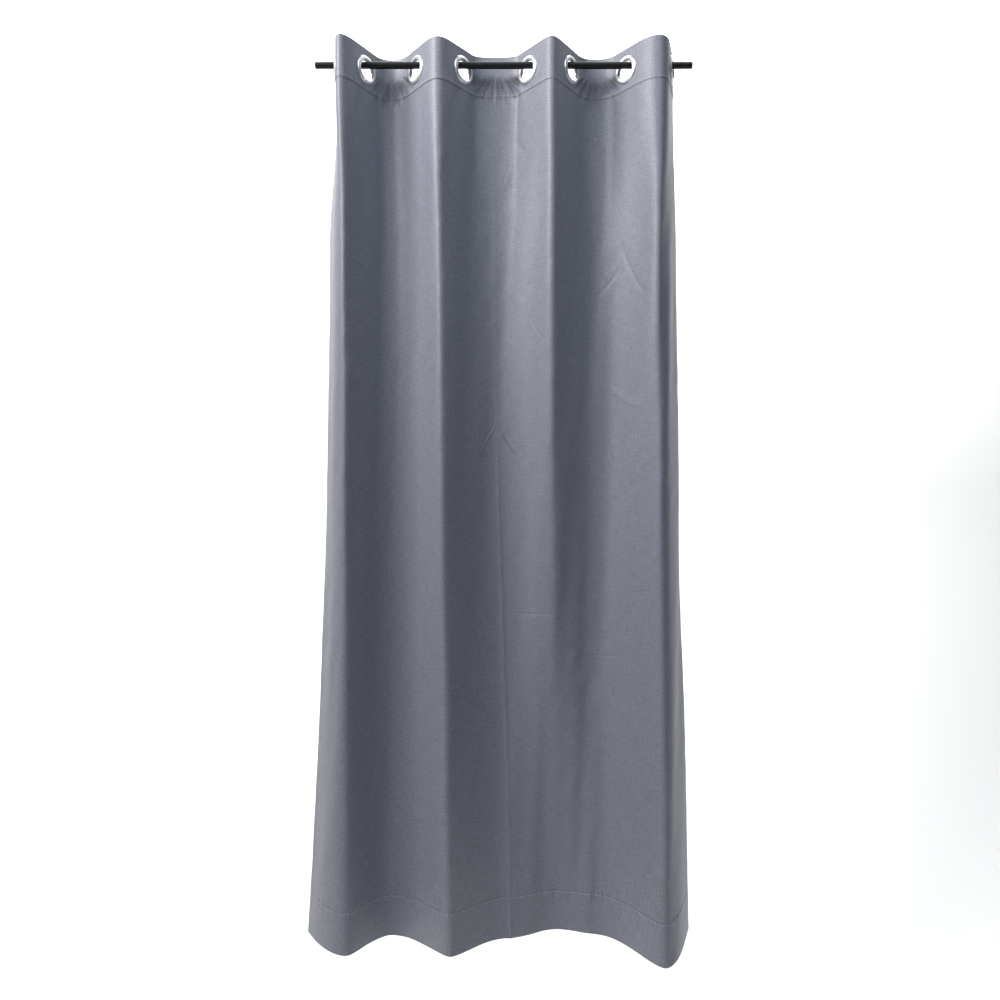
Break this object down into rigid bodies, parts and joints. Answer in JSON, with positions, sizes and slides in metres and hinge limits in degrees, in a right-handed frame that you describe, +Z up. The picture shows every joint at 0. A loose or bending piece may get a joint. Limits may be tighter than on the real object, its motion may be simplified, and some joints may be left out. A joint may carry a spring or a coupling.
{
  "type": "eyelet curtain panel",
  "caption": "Floor-length blackout curtain panel with a stiffened eyelet heading, hanging in soft folds on a slim straight rod",
  "frame": {"origin": "The middle of the rod's axis. The panel hangs down from there.", "axes": "+X runs along the rod to the viewer's right, +Y points from the room to the wall, +Z is up."},
  "size_m": [0.9147, 0.1353, 2.134],
  "materials": {
    "curtain_cloth": "cool grey blackout polyester with a fine plain weave and a faint satin sheen",
    "heading_tape": "stiff white non-woven heading tape",
    "eyelet_metal": "bright silver plated steel, rolled and polished",
    "rod_lacquer": "black satin lacquer",
    "plug_plastic": "black moulded end plug",
    "sewing_thread": "pale grey polyester thread"
  },
  "bodies": {
    "rod": {"curtain_rod": "rod_lacquer", "rod_plug_left": "plug_plastic", "rod_plug_right": "plug_plastic"},
    "pleat_1": {"cloth_1": "curtain_cloth", "heading_tape_1": "heading_tape", "eyelet_front_1": "eyelet_metal", "eyelet_back_1": "eyelet_metal"},
    "pleat_2": {"cloth_2": "curtain_cloth", "heading_tape_2": "heading_tape", "eyelet_front_2": "eyelet_metal", "eyelet_back_2": "eyelet_metal"},
    "pleat_3": {"cloth_3": "curtain_cloth", "heading_tape_3": "heading_tape", "eyelet_front_3": "eyelet_metal", "eyelet_back_3": "eyelet_metal"},
    "pleat_4": {"cloth_4": "curtain_cloth", "heading_tape_4": "heading_tape", "eyelet_front_4": "eyelet_metal", "eyelet_back_4": "eyelet_metal"},
    "pleat_5": {"cloth_5": "curtain_cloth", "heading_tape_5": "heading_tape", "eyelet_front_5": "eyelet_metal", "eyelet_back_5": "eyelet_metal"},
    "pleat_6": {"cloth_6": "curtain_cloth", "heading_tape_6": "heading_tape", "eyelet_front_6": "eyelet_metal", "eyelet_back_6": "eyelet_metal"},
    "pleat_7": {"cloth_7": "curtain_cloth", "heading_tape_7": "heading_tape", "eyelet_front_7": "eyelet_metal", "eyelet_back_7": "eyelet_metal"},
    "pleat_8": {"cloth_8": "curtain_cloth", "heading_tape_8": "heading_tape", "eyelet_front_8": "eyelet_metal", "eyelet_back_8": "eyelet_metal"}
  },
  "joints": [
    {"name": "gather", "type": "hinge", "parent": "rod", "child": "pleat_1", "pos_m": [-0.398, 0, -0.01176], "axis": [0, 0, -1], "range_deg": [-3, 14]},
    {"name": "fold_1", "type": "hinge", "parent": "pleat_1", "child": "pleat_2", "pos_m": [-0.3634, -0.05545, -0.01176], "axis": [0, 0, 1], "range_deg": [-6, 28]},
    {"name": "fold_2", "type": "hinge", "parent": "pleat_2", "child": "pleat_3", "pos_m": [-0.26915, 0.0517, -0.01176], "axis": [0, 0, -1], "range_deg": [-6, 28]},
    {"name": "fold_3", "type": "hinge", "parent": "pleat_3", "child": "pleat_4", "pos_m": [-0.1534, -0.05599, -0.01176], "axis": [0, 0, 1], "range_deg": [-6, 28]},
    {"name": "fold_4", "type": "hinge", "parent": "pleat_4", "child": "pleat_5", "pos_m": [-0.01975, 0.04, -0.01176], "axis": [0, 0, -1], "range_deg": [-6, 28]},
    {"name": "fold_5", "type": "hinge", "parent": "pleat_5", "child": "pleat_6", "pos_m": [0.10915, -0.05779, -0.01176], "axis": [0, 0, 1], "range_deg": [-6, 28]},
    {"name": "fold_6", "type": "hinge", "parent": "pleat_6", "child": "pleat_7", "pos_m": [0.2261, 0.04898, -0.01176], "axis": [0, 0, -1], "range_deg": [-6, 28]},
    {"name": "fold_7", "type": "hinge", "parent": "pleat_7", "child": "pleat_8", "pos_m": [0.3454, -0.05841, -0.01176], "axis": [0, 0, 1], "range_deg": [-6, 28]}
  ],
  "couplings": [
    {"joint": "fold_1", "follows": "gather", "ratio": 2},
    {"joint": "fold_2", "follows": "gather", "ratio": 2},
    {"joint": "fold_3", "follows": "gather", "ratio": 2},
    {"joint": "fold_4", "follows": "gather", "ratio": 2},
    {"joint": "fold_5", "follows": "gather", "ratio": 2},
    {"joint": "fold_6", "follows": "gather", "ratio": 2},
    {"joint": "fold_7", "follows": "gather", "ratio": 2}
  ]
}
